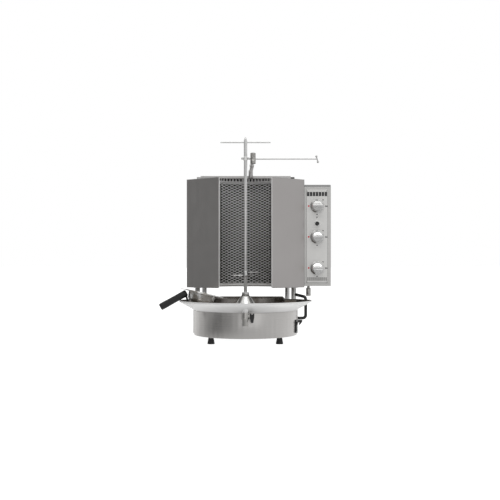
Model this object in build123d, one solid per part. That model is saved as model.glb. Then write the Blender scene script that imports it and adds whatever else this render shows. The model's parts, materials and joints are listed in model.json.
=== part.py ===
from build123d import *
import os
from math import cos, hypot, radians, sin

# Vertical rotisserie broiler, gas fired, for a counter. Millimetres, +Z up.
# Everything is laid out about the spit: its axis is X = 0, Y = 0, the counter is Z = 0 and the user
# stands at -Y. At the very end the whole object is moved so that the middle of its footprint is the origin.

SHEET = 1.5
RUNNING_GAP = 0.05

# Base: a round-fronted drum with a box behind it, on four rubber feet
FOOT_HEIGHT = 27.0
FOOT_BOTTOM_R = 14.35
FOOT_TOP_R = 10.15
FOOT_PLACES = [(137, -139), (-137, -139), (150, 318), (-150, 318)]
FOOT_SCREW_R = 3.0
DRUM_R = 215.0
REAR_BOX_X = 221.0
REAR_BOX_FRONT_Y = 30.0
BASE_BACK_Y = 376.0
REAR_CORNER_R = 14.0
DECK_TOP = 129.0
DECK_UNDER = DECK_TOP - 2.0
DECK_SCREWS = [(200, 40), (-200, 40), (120, 362), (-120, 362), (0, 362), (130, -150), (-130, -150), (0, -196)]
BEARING_R = 17.0
GEARBOX_LOW = 88.0
VENT_COUNT = 9
GLAND = (-150.0, 60.0)
GLAND_R = 8.0
CABLE_R = 4.0

# Motor switch in the drum's right side, and the carriage lock just behind it
SWITCH_DEG = -15.0
SWITCH_SPIN = Rot(0, 0, SWITCH_DEG)
SWITCH_Z = 64.0
SWITCH_HALF = (15.0, 27.0)
ROCKER_HALF = (9.0, 19.0)
ROCKER_RADIAL = DRUM_R + 3.0
LOCK_Y = 76.0
LOCK_Z = 73.0
LOCK_PIN_R = 4.0

# Drip pan
PAN_FLOOR_R = 214.0
PAN_RIM_R = 277.0
PAN_TAIL_X = 172.0
PAN_TAIL_Y = 330.0
PAN_SHOULDER = (221.0, 70.0)
PAN_HEM_LOW = 164.0
PAN_RIM_TOP = 170.0
PAN_HEM = 3.0
CONE_BASE_R = 55.0
CONE_TOP_R = 18.5
CONE_TOP_Z = 187.0
DRAIN_Y = -235.0
DRAIN_R = 13.5
DRAIN_OUTLET_R = 11.2
DRAIN_TOP_Z = 131.0
DRAIN_STEP_Z = 106.0
DRAIN_END_Z = 78.6
DRAIN_STEM_Z = 119.0

# Drive and spit
SHAFT_R = 8.0
SHAFT_TOP_Z = 184.0
CUP_R = 16.0
CUP_TOP_Z = 201.0
SOCKET_DEPTH = 12.0
SPIT_R = 7.2
SPIT_SQUARE = 12.0
SPIT_TIP_Z = 852.5
T_BAR_Z = 829.5
T_BAR_HALF = 105.0
T_BAR_R = 2.4
FORK_Z = 762.0
COLLAR_R = 8.5
SPIDER_PRONGS = [(190, 55.0, 272.0), (308, 55.0, 272.0), (128, 55.0, 272.0), (10, 57.5, 285.0)]

# Burner housing on its sliding carriage
CAVITY_X = 110.0
CAVITY_BACK_X = 121.0
WING_TIP = (251.0, 52.0)
WING_FRONT_Y = -41.0
CASING_BEND_Y = 255.0
CASING_BACK = (165.0, 345.0)
HOUSING_LOW = 220.0
HOUSING_TOP = 680.0
SHIELD_BACK_Y = 214.0
GUARD_R = 200.0
GUARD_HALF_DEG = 36.0
MESH_LOW = 230.0
MESH_HIGH = 682.0
MESH_FACETS = 10
MESH_ROWS = 37
MESH_THICK = 1.2
MESH_OPEN = 0.72
FRONT_POST = (208.0, 95.0)
REAR_POST = (190.0, 290.0)
POST_R = 11.0
CARRIAGE_TRAVEL = 45.0
RAIL_TOP = 108.0
FRAME_LOW = RAIL_TOP + 0.3
FRAME_TOP = FRAME_LOW + 4.0
HANDLE_R = 6.5
HANDLE_X = 257.0
HANDLE_Y = 60.0
HANDLE_LOW_Z = 89.0
HANDLE_TOP_Z = 179.0

# Roof
LID_X = 215.0
LID_FRONT_Y = 150.0
LID_BACK_Y = 343.0
LID_TOP = 702.5
CAP_X = 198.0
CAP_TOP = 707.0
SLOT_COUNT = 18
SLOT_PITCH_DEG = 4.1

# Burners, valves and controls
BURNER_Z = [315.0, 455.0, 595.0]
KNOB_X = 304.7
KNOB_Z = [303.0, 435.6, 567.0]
BOX_RIGHT = 364.0
BOX_BACK_Y = 202.0
BOX_LOW = 226.0
BOX_TOP = 659.0
PLATE_FRONT_Y = 50.5
FACE_X = (258.0, 351.6)
FACE_Z = (239.0, 637.7)
VALVE_BACK_Y = 110.0
KNOB_BACK_Y = PLATE_FRONT_Y - 4.0
STEM_R = 4.0
STEM_TIP_Y = 24.0
STEM_FLAT_Y = 44.0
KNOB_PUSH = 3.0
KNOB_R = 29.5
IGNITER = (304.9, 492.0)
IGNITER_R = 9.0
GAS_PIPE_R = 10.65
GAS_INLET = (271.8, 100.0)

# Top arm that holds the spit
ARM_X = 27.0
ARM_Z = 750.0
ARM_R = 6.5
ARM_POST = (22.0, 137.0)
CLAMP = (31.5, 6.0)
ROD_Y = 13.0
ROD_R = 2.4
ROD_END_X = 300.0

# Scoop lying in the drip pan
SCOOP_Y = -80.0
SCOOP_TILT = 12.6
SCOOP_RIM_CENTRE = (-176.0, 201.8)
SCOOP_R = 56.0
SCOOP_DEPTH = 60.0
GRIP_LOW = (-346.0, 144.0)
GRIP_HIGH = (-240.0, 203.0)
GRIP_THICK = 29.0
GRIP_WIDE = 31.0

nodes = {}


def block(x, y, z):
    """A box from three (low, high) pairs."""
    size = [pair[1] - pair[0] for pair in (x, y, z)]
    middle = [(pair[0] + pair[1]) / 2 for pair in (x, y, z)]
    return Pos(*middle) * Box(*size)


def prism(points, low, high):
    """A closed outline in plan, raised from low to high."""
    face = make_face(Polyline(*points, close=True))
    return extrude(Pos(0, 0, low) * face, amount=high - low, dir=(0, 0, 1))


def rod(start, end, radius):
    """A round bar between two points."""
    run = Vector(*end) - Vector(*start)
    return extrude(Plane(origin=start, z_dir=run) * Circle(radius), amount=run.length)


def bent_bar(points, radius, bend):
    """A round bar along straight runs joined by arcs."""
    path = FilletPolyline(*points, radius=bend)
    return sweep(Plane(origin=path @ 0, z_dir=path % 0) * Circle(radius), path=path)


def turned(profile, place=(0, 0, 0)):
    """A turned piece about a vertical axis from (radius, height) points."""
    face = make_face(Polyline(*[(r, 0, z) for r, z in profile], close=True))
    return Pos(*place) * revolve(face, axis=Axis.Z)


def turned_forward(profile, x, z):
    """A turned piece about an axis along Y from (radius, y) points."""
    face = make_face(Polyline(*[(r, y, 0) for r, y in profile], close=True))
    return Pos(x, 0, z) * revolve(face, axis=Axis.Y)


def arc_sheet(inner, outer, low, high):
    """A curved strip behind the spit, concentric with it."""
    first = 90 - GUARD_HALF_DEG
    sweep_deg = 2 * GUARD_HALF_DEG
    near = CenterArc((0, 0), inner, first, sweep_deg)
    far = CenterArc((0, 0), outer, first, sweep_deg)
    edges = [near, Line(near @ 1, far @ 1), far, Line(far @ 0, near @ 0)]
    return extrude(Pos(0, 0, low) * make_face(edges), amount=high - low, dir=(0, 0, 1))


def both_sides(solid):
    """A piece and its mirror image across the spit's plane."""
    return [solid, mirror(solid, about=Plane.YZ)]


def keep(name, *solids):
    """Files the solids of one sub-part under its name."""
    nodes[name] = [one for solid in solids for one in solid.solids()]


# ---------------------------------------------------------------- base


def base_face(inset):
    """Plan of the base: half a circle in front, a slightly wider box behind."""
    r = DRUM_R - inset
    side = REAR_BOX_X - inset
    step = REAR_BOX_FRONT_Y + inset
    back = BASE_BACK_Y - inset
    front = ThreePointArc((-r, 0), (0, -r), (r, 0))
    right = [(r, 0), (r, step), (side, step), (side, back)]
    rest = Polyline(*right, *[(-x, y) for x, y in reversed(right)])
    face = make_face([front, rest])
    return fillet(face.vertices().group_by(Axis.Y)[-1], REAR_CORNER_R - inset)


def base_slab(inset, low, high):
    return extrude(Pos(0, 0, low) * base_face(inset), amount=high - low, dir=(0, 0, 1))


def base_shell():
    wall = base_slab(0, FOOT_HEIGHT, DECK_UNDER) - base_slab(SHEET, FOOT_HEIGHT, DECK_UNDER)
    wall -= SWITCH_SPIN * block((DRUM_R - 8, DRUM_R + 8), (-11.2, 11.2), (SWITCH_Z - 23.2, SWITCH_Z + 23.2))
    slot_y = (HANDLE_Y - HANDLE_R - 1, HANDLE_Y + CARRIAGE_TRAVEL + HANDLE_R + 1)
    slot_z = (HANDLE_LOW_Z - HANDLE_R - 1, HANDLE_LOW_Z + HANDLE_R + 1)
    wall -= block((REAR_BOX_X - 8, REAR_BOX_X + 8), slot_y, slot_z)
    wall -= rod((REAR_BOX_X - 8, LOCK_Y, LOCK_Z), (REAR_BOX_X + 8, LOCK_Y, LOCK_Z), LOCK_PIN_R + RUNNING_GAP)
    wall -= rod((GLAND[0], BASE_BACK_Y - 8, GLAND[1]), (GLAND[0], BASE_BACK_Y + 8, GLAND[1]), GLAND_R)
    for k in range(VENT_COUNT):
        x = -64 + 16 * k
        wall -= block((x - 3, x + 3), (BASE_BACK_Y - 8, BASE_BACK_Y + 8), (50, 100))
    return wall


def base_bottom_plate():
    plate = base_slab(SHEET, FOOT_HEIGHT, FOOT_HEIGHT + 2)
    for x, y in FOOT_PLACES:
        plate -= Pos(x, y, FOOT_HEIGHT) * Cylinder(FOOT_SCREW_R, 20)
    for k in range(7):
        plate -= block((-60, 60), (150 + 20 * k, 156 + 20 * k), (FOOT_HEIGHT - 5, FOOT_HEIGHT + 10))
    return plate


def base_deck():
    deck = base_slab(0, DECK_UNDER, DECK_TOP)
    deck -= Pos(0, 0, DECK_TOP) * Cylinder(BEARING_R, 20)
    for x, y in (FRONT_POST, REAR_POST):
        half = POST_R + 0.5
        for side in (-1, 1):
            reach = (y - half, y + CARRIAGE_TRAVEL + half)
            deck -= block((side * x - half, side * x + half), reach, (DECK_UNDER - 5, DECK_TOP + 5))
    for x, y in DECK_SCREWS:
        deck -= Pos(x, y, DECK_TOP) * Cylinder(2.2, 20)
    return deck


def rubber_foot(x, y):
    top = FOOT_HEIGHT
    profile = [(0, 0), (FOOT_BOTTOM_R, 0), (FOOT_BOTTOM_R, 4), (FOOT_TOP_R + 0.6, top - 3),
               (FOOT_TOP_R, top), (0, top)]
    foot = turned(profile, (x, y, 0))
    foot -= Pos(x, y, 9) * Cylinder(6.5, 18)
    return foot - Pos(x, y, top) * Cylinder(FOOT_SCREW_R, 30)


def foot_screw(x, y):
    head = Pos(x, y, 15.5) * Cylinder(6.0, 5)
    return head + rod((x, y, 15), (x, y, FOOT_HEIGHT + 8), FOOT_SCREW_R)


def deck_screw(x, y):
    return rod((x, y, DECK_UNDER - 5), (x, y, DECK_TOP), 2.2)


def carriage_rail():
    web = block((190, 193), (80, 362), (FOOT_HEIGHT + 2, RAIL_TOP - 4))
    return web + block((178, 200), (80, 362), (RAIL_TOP - 4, RAIL_TOP))


def gearbox():
    case = block((-52, 52), (-40, 66), (GEARBOX_LOW, DECK_UNDER))
    case = fillet(case.edges().filter_by(Axis.Z), 12)
    case -= Pos(0, 0, DECK_UNDER) * Cylinder(BEARING_R + 3, 8)
    return case - Pos(0, 0, DECK_UNDER) * Cylinder(SHAFT_R + RUNNING_GAP, 66)


def motor_can():
    low = FOOT_HEIGHT + 5
    can = Pos(0, 28, (low + GEARBOX_LOW) / 2) * Cylinder(34, GEARBOX_LOW - low)
    can = chamfer(can.edges().group_by(Axis.Z)[0], 3)
    return can + Pos(40, 28, 62) * Cylinder(14, 44)


def shaft_bearing():
    flange = [(BEARING_R, DECK_TOP), (27, DECK_TOP), (27, 133), (0, 135)]
    bush = turned([(0, DECK_UNDER), (BEARING_R, DECK_UNDER)] + flange)
    return bush - Pos(0, 0, DECK_TOP) * Cylinder(SHAFT_R + RUNNING_GAP, 40)


def switch_plate():
    plate = block((DRUM_R - 3, DRUM_R + 4), (-SWITCH_HALF[0], SWITCH_HALF[0]),
                  (SWITCH_Z - SWITCH_HALF[1], SWITCH_Z + SWITCH_HALF[1]))
    plate = fillet(plate.edges().filter_by(Axis.X), 4)
    plate -= Rot(0, 0, -SWITCH_DEG) * Pos(0, 0, SWITCH_Z) * Cylinder(DRUM_R, 80)
    plate += block((DRUM_R - 26, DRUM_R + 2), (-11, 11), (SWITCH_Z - 23, SWITCH_Z + 23))
    mouth_y = ROCKER_HALF[0] + 0.5
    mouth_z = ROCKER_HALF[1] + 0.5
    plate -= block((DRUM_R - 10, DRUM_R + 9), (-mouth_y, mouth_y), (SWITCH_Z - mouth_z, SWITCH_Z + mouth_z))
    return SWITCH_SPIN * plate


def switch_rocker():
    """A paddle with a low middle, tipped so that its lower end stands out."""
    face = make_face(Polyline((-5, -18.5), (5, -18.5), (1.5, 0), (5, 18.5), (-5, 18.5), close=True))
    paddle = extrude(Plane.XZ * face, amount=ROCKER_HALF[0], both=True)
    tipped = Rot(0, 7, 0) * paddle
    return SWITCH_SPIN * Pos(ROCKER_RADIAL, 0, SWITCH_Z) * tipped


def cable_gland():
    x, z = GLAND
    profile = [(0, -8), (GLAND_R, -8), (GLAND_R, 0), (12, 0), (12, 7), (9.5, 9), (7, 20), (0, 20)]
    body = turned_forward(profile, x, z) - rod((x, -30, z), (x, 40, z), CABLE_R)
    return Pos(0, BASE_BACK_Y, 0) * body


def lock_lever():
    """A tapered lever hanging on a pin through the side of the base, just under the handle bar."""
    side = REAR_BOX_X
    tail = [(233, 58.5), (228, 60), (232, 69)]
    outline = [(side + 2, 80), (242, 80), (245, 76), (241, 69)] + tail + [(side + 2, 69)]
    face = make_face(Polyline(*[(x, LOCK_Y - 4, z) for x, z in outline], close=True))
    arm = extrude(face, amount=8, dir=(0, 1, 0))
    arm = fillet(arm.edges().filter_by(Axis.Y).group_by(Axis.X)[-1], 2)
    hub = rod((side + 0.4, LOCK_Y, LOCK_Z + 1), (side + 9, LOCK_Y, LOCK_Z + 1), 5.5)
    pin = rod((side - 7.5, LOCK_Y, LOCK_Z), (side + 12, LOCK_Y, LOCK_Z), LOCK_PIN_R)
    cam = rod((side - 7.5, LOCK_Y, LOCK_Z), (side - SHEET - 0.4, LOCK_Y, LOCK_Z), LOCK_PIN_R + 3)
    return arm + hub + pin + cam


# ---------------------------------------------------------------- drip pan


def pan_face(z, inset, rim):
    """Plan of the pan at one height: rim is 0 at the floor and 1 at the rim."""
    r = PAN_FLOOR_R + (PAN_RIM_R - PAN_FLOOR_R) * rim - inset
    shoulder_x = 203 + (PAN_SHOULDER[0] - 203) * rim - inset
    shoulder_y = PAN_SHOULDER[1] - 8 * (1 - rim) - inset
    tail_x = PAN_TAIL_X - 6 * (1 - rim) - inset
    tail_y = PAN_TAIL_Y - 6 * (1 - rim) - inset
    front = ThreePointArc((-r, 0, z), (0, -r, z), (r, 0, z))
    right = [(r, 0), (shoulder_x, shoulder_y), (tail_x, shoulder_y), (tail_x, tail_y)]
    left = [(-x, y) for x, y in reversed(right)]
    return make_face([front, Polyline(*[(x, y, z) for x, y in right + left])])


def pan_body(inset, low, top):
    """The pan's outer or inner form: a flare up to the hem, then straight up."""
    flare = loft([pan_face(low, inset, 0), pan_face(PAN_HEM_LOW, inset, 1)], ruled=True)
    return flare + extrude(pan_face(PAN_HEM_LOW, inset, 1), amount=top - PAN_HEM_LOW, dir=(0, 0, 1))


def drip_pan():
    outside = pan_body(0, DECK_TOP, PAN_RIM_TOP)
    inner_floor = pan_face(DECK_TOP + SHEET, SHEET + 0.8, 0)
    inner_flare = loft([inner_floor, pan_face(PAN_HEM_LOW, SHEET + 0.8, 1)], ruled=True)
    inner_hem = extrude(pan_face(PAN_HEM_LOW, PAN_HEM, 1), amount=20, dir=(0, 0, 1))
    pan = outside - inner_flare - inner_hem
    spout = Pos(0, DRAIN_Y, (DRAIN_TOP_Z + 152) / 2) * Cylinder(11.0, 152 - DRAIN_TOP_Z)
    pan = pan + (spout - outside)
    pan -= Pos(0, DRAIN_Y, 145) * Cylinder(8.0, 60)
    return pan - Pos(0, 0, DECK_TOP) * Cylinder(45, 20)


def pan_cone():
    low = DECK_TOP + SHEET
    inner_top = CONE_TOP_R - SHEET
    inner_base = CONE_BASE_R - SHEET
    profile = [(inner_base, low), (CONE_BASE_R, low), (CONE_TOP_R, CONE_TOP_Z), (inner_top, CONE_TOP_Z)]
    return turned(profile)


def drain_valve():
    step = DRAIN_STEP_Z
    end = DRAIN_END_Z
    outlet = DRAIN_OUTLET_R
    profile = [(0, end), (outlet - 1, end), (outlet, end + 1), (outlet, step), (DRAIN_R + 0.8, step),
               (DRAIN_R + 0.8, step + 3), (DRAIN_R, step + 4), (DRAIN_R, DRAIN_TOP_Z),
               (0, DRAIN_TOP_Z)]
    body = turned(profile, (0, DRAIN_Y, 0))
    body += rod((0, DRAIN_Y, DRAIN_STEM_Z), (DRAIN_R + 4.2, DRAIN_Y, DRAIN_STEM_Z), 7)
    body -= Pos(0, DRAIN_Y, 100) * Cylinder(8.0, 100)
    return body - rod((9, DRAIN_Y, DRAIN_STEM_Z), (30, DRAIN_Y, DRAIN_STEM_Z), 3 + RUNNING_GAP)


def drain_lever():
    """A paddle lever hanging beside the outlet, turned by its stem along X."""
    outline = [(18.5, 128), (23, 128), (25, 124), (29, 124), (31, 128), (35.5, 128), (35.5, 116),
               (31.5, 92), (24.5, 92), (18.5, 112)]
    face = make_face(Polyline(*[(x, DRAIN_Y - 5, z) for x, z in outline], close=True))
    paddle = extrude(face, amount=10, dir=(0, 1, 0))
    return paddle + rod((9.5, DRAIN_Y, DRAIN_STEM_Z), (20, DRAIN_Y, DRAIN_STEM_Z), 3)


# ---------------------------------------------------------------- drive and spit


def drive_shaft():
    return rod((0, 0, GEARBOX_LOW + 8), (0, 0, SHAFT_TOP_Z), SHAFT_R)


def drive_cup():
    top = CUP_TOP_Z
    profile = [(0, 165), (12, 165), (12, 187.5), (CUP_R, 187.5), (CUP_R, top - 1), (CUP_R - 1, top), (0, top)]
    cup = turned(profile) - rod((0, 0, 160), (0, 0, SHAFT_TOP_Z), SHAFT_R)
    return cup - block((-6.2, 6.2), (-6.2, 6.2), (top - SOCKET_DEPTH, top + 1))


def spit_rod():
    shoulder = CUP_TOP_Z + 0.5
    neck = T_BAR_Z + 9
    point = [(SPIT_R - 2, neck + 2), (SPIT_R - 1.6, neck + 5), (2, SPIT_TIP_Z - 1.5), (0, SPIT_TIP_Z)]
    profile = [(0, shoulder), (SPIT_R, shoulder), (SPIT_R, neck)] + point
    half = SPIT_SQUARE / 2
    spit = turned(profile) + block((-half, half), (-half, half), (CUP_TOP_Z - SOCKET_DEPTH, shoulder + 1))
    return spit - rod((-20, 0, T_BAR_Z), (20, 0, T_BAR_Z), T_BAR_R)


def spit_collar():
    low = FORK_Z - 8
    high = FORK_Z + 8
    r = COLLAR_R
    edge = r - 0.6
    return turned([(SPIT_R, low), (edge, low), (r, low + 1), (r, high - 1), (edge, high), (SPIT_R, high)])


def spit_t_bar():
    bar = rod((-T_BAR_HALF, 0, T_BAR_Z), (T_BAR_HALF, 0, T_BAR_Z), T_BAR_R)
    return fillet(bar.edges().filter_by(GeomType.CIRCLE), 1.2)


def spit_spider():
    """A hub with pointed prongs that carries the foot of the meat."""
    hub = turned([(SPIT_R, 267), (10.5, 267), (11, 268), (11, 289), (10, 290.5), (SPIT_R, 290.5)])
    for angle, reach, z in SPIDER_PRONGS:
        prong = turned_forward([(0, 9), (2.6, 9), (2.6, reach - 8), (0.6, reach), (0, reach)], 0, z)
        hub += Rot(0, 0, angle - 90) * prong
    return hub - rod((0, 0, 260), (0, 0, 300), SPIT_R)


# ---------------------------------------------------------------- carriage


def carriage_frame():
    side = block((178, 218), (78, 306), (FRAME_LOW, FRAME_TOP))
    side += block((202, 208), (HANDLE_Y - 10, 96), (FRAME_LOW - 32, FRAME_TOP))
    frame = side + mirror(side, about=Plane.YZ)
    frame += block((-180, 180), (270, 306), (FRAME_LOW, FRAME_TOP))
    return frame - rod((150, HANDLE_Y, HANDLE_LOW_Z), (206, HANDLE_Y, HANDLE_LOW_Z), 2.5)


def support_post(x, y):
    """A post with a flange under the housing and a collar that hides the slot in the deck."""
    top = HOUSING_LOW
    collar_low = DECK_TOP + 0.5
    profile = [(0, FRAME_TOP), (POST_R, FRAME_TOP), (POST_R, collar_low), (15, collar_low), (15, 146),
               (13, 150), (POST_R, 150), (POST_R, top - 3), (17, top - 3), (17, top), (0, top)]
    return turned(profile, (x, y, 0))


def handle_bar():
    """A C-shaped bar from the carriage, out of the side of the base and up to the front post."""
    points = [(208, HANDLE_Y, HANDLE_LOW_Z), (HANDLE_X, HANDLE_Y, HANDLE_LOW_Z),
              (HANDLE_X, HANDLE_Y, HANDLE_TOP_Z), (FRONT_POST[0] + 4, FRONT_POST[1] - 3, HANDLE_TOP_Z + 10)]
    bar = bent_bar(points, HANDLE_R, 13)
    bar -= Pos(FRONT_POST[0], FRONT_POST[1], 185) * Cylinder(POST_R, 80)
    return max(bar.solids(), key=lambda solid: solid.volume)


# ---------------------------------------------------------------- housing


def housing_outline():
    right = [(CAVITY_X, WING_FRONT_Y), WING_TIP, (WING_TIP[0], CASING_BEND_Y), CASING_BACK]
    left = [(-x, y) for x, y in reversed(right)]
    return right + left


def cavity(low, high):
    """The hollow in front of the burners, where the meat turns: a little wider at the back."""
    mouth = CAVITY_X + SHEET
    reach = CAVITY_BACK_X + SHEET
    outer = GUARD_R + 1.6
    right = [(mouth, WING_FRONT_Y - 30), (mouth, WING_FRONT_Y), (reach, SHIELD_BACK_Y)]
    sides = prism(right + [(-x, y) for x, y in reversed(right)], low, high)
    round_back = Pos(0, 0, (low + high) / 2) * Cylinder(outer, high - low)
    front = block((-reach, reach), (WING_FRONT_Y - 40, 100), (low, high))
    return sides & (front + round_back)


def housing_floor():
    plate = prism(housing_outline(), HOUSING_LOW, HOUSING_LOW + SHEET)
    plate -= cavity(HOUSING_LOW - 5, HOUSING_LOW + 10)
    for k in range(5):
        plate -= block((-80, 80), (222 + 22 * k, 230 + 22 * k), (HOUSING_LOW - 5, HOUSING_LOW + 10))
    return plate


def outer_casing():
    """Sides, chamfered back and top panel, folded as one shell."""
    low = HOUSING_LOW + SHEET
    under = HOUSING_TOP - SHEET
    outline = [WING_TIP, (WING_TIP[0], CASING_BEND_Y), CASING_BACK]
    outline += [(-x, y) for x, y in reversed(outline)]
    face = make_face(Polyline(*outline, close=True))
    inner = offset(face, amount=-SHEET, kind=Kind.INTERSECTION)
    wall = extrude(Pos(0, 0, low) * face, amount=under - low, dir=(0, 0, 1))
    wall -= extrude(Pos(0, 0, low) * inner, amount=under - low, dir=(0, 0, 1))
    gap = WING_TIP[0] - SHEET
    wall -= block((-gap, gap), (WING_TIP[1] - 5, WING_TIP[1] + 5), (low, under))
    top = prism(housing_outline(), under, HOUSING_TOP) - cavity(under - 5, HOUSING_TOP + 5)
    top -= block((-190, 190), (218, 328), (under - 5, HOUSING_TOP + 5))
    casing = wall + top
    for z in KNOB_Z:
        casing -= rod((WING_TIP[0] - 8, 90, z), (WING_TIP[0] + 8, 90, z), 6)
    for k in range(12):
        z = 300 + 24 * k
        casing -= block((-90, 90), (CASING_BACK[1] - 6, CASING_BACK[1] + 6), (z, z + 6))
    return casing


def side_shield():
    """The wing and the cavity's side wall: one sheet with a single bend."""
    t = SHEET
    end_x = WING_TIP[0] - t
    slope = (WING_TIP[1] - WING_FRONT_Y) / (WING_TIP[0] - CAVITY_X)
    end_y = WING_FRONT_Y + slope * (end_x - CAVITY_X)
    lean = t * hypot(1, slope)
    bend_y = WING_FRONT_Y + lean + t * slope
    splay = (CAVITY_BACK_X - CAVITY_X) / (SHIELD_BACK_Y - WING_FRONT_Y)
    bend_x = CAVITY_X + t + (bend_y - WING_FRONT_Y) * splay
    wing = [(CAVITY_X, WING_FRONT_Y), (end_x, end_y), (end_x, end_y + lean), (bend_x, bend_y)]
    outline = [(CAVITY_BACK_X, SHIELD_BACK_Y)] + wing + [(CAVITY_BACK_X + t, SHIELD_BACK_Y)]
    return prism(outline, HOUSING_LOW + SHEET, HOUSING_TOP - SHEET)


def roof_outline(half, front, inset):
    """Plan of a roof sheet: square in front, its back corners cut off along the casing's chamfer."""
    back = LID_BACK_Y - inset
    corner_x = CASING_BACK[0] - 4 - inset / 2
    turn_y = back - (half - corner_x) * (CASING_BACK[1] - CASING_BEND_Y) / (WING_TIP[0] - CASING_BACK[0])
    right = [(half, front), (half, turn_y), (corner_x, back)]
    return right + [(-x, y) for x, y in reversed(right)]


def roof_lid():
    shell = prism(roof_outline(LID_X, LID_FRONT_Y, 0), HOUSING_TOP, LID_TOP)
    inner = roof_outline(LID_X - SHEET, LID_FRONT_Y + SHEET, SHEET)
    shell -= prism(inner, HOUSING_TOP - 5, LID_TOP - SHEET)
    mouth = CAVITY_BACK_X + 1
    shell -= block((-mouth, mouth), (LID_FRONT_Y - 5, LID_FRONT_Y + 5), (HOUSING_TOP - 5, LID_TOP - SHEET))
    for k in range(7):
        y = 168 + 16 * k
        shell -= block((-LID_X - 5, LID_X + 5), (y, y + 7), (HOUSING_TOP + 5, LID_TOP - 6))
    return shell


def roof_cap():
    front = LID_FRONT_Y - SHEET
    shell = prism(roof_outline(CAP_X, front, 10), LID_TOP, CAP_TOP)
    shell -= prism(roof_outline(CAP_X - SHEET, front + SHEET, 10 + SHEET), LID_TOP - 5, CAP_TOP - SHEET)
    return shell + block((-CAP_X, CAP_X), (front, LID_FRONT_Y), (CAP_TOP - 10.7, CAP_TOP))


def slotted_band():
    band = arc_sheet(GUARD_R, GUARD_R + 1.6, HOUSING_TOP - 4, LID_TOP - SHEET)
    for k in range(SLOT_COUNT):
        angle = (k - (SLOT_COUNT - 1) / 2) * SLOT_PITCH_DEG
        band -= Rot(0, 0, angle) * block((-3, 3), (GUARD_R - 10, GUARD_R + 10), (688.7, 699.5))
    return band


def mesh_facet():
    """One cell width of expanded metal: whole diamonds in the middle, half ones cut into its edges."""
    half_step = radians(GUARD_HALF_DEG / MESH_FACETS)
    half = GUARD_R * sin(half_step) - 0.06
    pitch = (MESH_HIGH - MESH_LOW) / MESH_ROWS
    wide = half * MESH_OPEN
    tall = pitch / 2 * MESH_OPEN
    edge = [(half, MESH_LOW)]
    for row in range(1, MESH_ROWS):
        z = MESH_LOW + row * pitch
        edge += [(half, z - tall), (half - wide, z), (half, z + tall)]
    edge += [(half, MESH_HIGH)]
    outline = edge + [(-u, z) for u, z in reversed(edge)]
    holes = []
    for row in range(MESH_ROWS):
        z = MESH_LOW + (row + 0.5) * pitch
        diamond = Polyline((-wide, z), (0, z - tall), (wide, z), (0, z + tall), close=True)
        holes.append(Wire(diamond.edges()))
    face = Face(Wire(Polyline(*outline, close=True).edges()), holes)
    plane = Plane(origin=(0, GUARD_R * cos(half_step), 0), x_dir=(1, 0, 0), z_dir=(0, -1, 0))
    return extrude(plane * face, amount=MESH_THICK, dir=(0, -1, 0))


def mesh_guard():
    facet = mesh_facet()
    step = 2 * GUARD_HALF_DEG / MESH_FACETS
    facets = [Rot(0, 0, (k - (MESH_FACETS - 1) / 2) * step) * facet for k in range(MESH_FACETS)]
    return facets + [arc_sheet(GUARD_R, GUARD_R + 1.6, HOUSING_LOW, 233)]


def panel_screws():
    """Screws along the back edges of the casing and at the corners of the face plate."""
    screws = []
    for x in (-150, 150):
        for z in (240, 450, 660):
            y = CASING_BACK[1]
            screws.append(turned_forward([(0, y), (4, y), (4, y + 1.4), (2.6, y + 2.4), (0, y + 2.4)], x, z))
    for x in (FACE_X[0] + 6, FACE_X[1] - 6):
        for z in (FACE_Z[0] + 6, FACE_Z[1] - 6):
            y = PLATE_FRONT_Y
            head = [(0, y - 1.6), (1.6, y - 1.6), (2.6, y - 0.9), (2.6, y), (0, y)]
            screws.append(turned_forward(head, x, z))
    return screws


# ---------------------------------------------------------------- burners and gas


def burner(knob_z, z):
    """A sheet-metal plenum, open in front for its ceramic plaques, with ears and an inlet horn."""
    box = block((-95, 95), (212, 262), (z - 62, z + 62))
    box = chamfer(box.edges().filter_by(Axis.X).group_by(Axis.Y)[-1], 14)
    box -= block((-88, 88), (205, 218), (z - 54, z + 54))
    ear = CAVITY_BACK_X - 0.1
    box += block((-ear, ear), (212, SHIELD_BACK_Y), (z - 62, z + 62))
    box -= block((-88, 88), (205, 218), (z - 54, z + 54))
    box += rod((94, 238, knob_z), (120, 238, knob_z), 10)
    return box - rod((112, 238, knob_z), (125, 238, knob_z), 6)


def ceramic_plaques():
    plaques = []
    for z in BURNER_Z:
        for column in range(3):
            x = -88 + 176 / 3 * column
            plaques.append(block((x + 0.4, x + 176 / 3 - 0.4), (206, 218), (z - 54, z + 54)))
    return plaques


def gas_valve(z):
    body = rod((KNOB_X, 64, z), (KNOB_X, VALVE_BACK_Y, z), 12)
    body += rod((KNOB_X, 58, z), (KNOB_X, 66, z), 8)
    body += rod((KNOB_X, 90, z), (KNOB_X - 22, 90, z), 7)
    return body - rod((KNOB_X, 50, z), (KNOB_X, 76, z), STEM_R + RUNNING_GAP)


def injector_pipe(z):
    """A tube from a valve, across the casing and back to its burner's horn."""
    return bent_bar([(KNOB_X - 22, 90, z), (190, 90, z), (190, 238, z), (112, 238, z)], 4, 22)


def gas_manifold():
    half = 8
    pipe = block((KNOB_X - half, KNOB_X + half), (VALVE_BACK_Y, VALVE_BACK_Y + 16), (232, 590))
    x, y = GAS_INLET
    return pipe + block((x - 8, KNOB_X + half), (y - 8, VALVE_BACK_Y + 16), (232, 248))


def gas_inlet():
    neck = [(9.0, 217), (6, 217), (6, BOX_LOW + 6), (0, BOX_LOW + 6)]
    profile = [(0, 182), (9.4, 182), (GAS_PIPE_R, 184), (GAS_PIPE_R, 212)] + neck
    fitting = turned(profile, (*GAS_INLET, 0))
    return fitting - Pos(*GAS_INLET, 182) * Cylinder(5, 60)


# ---------------------------------------------------------------- control box

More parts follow.
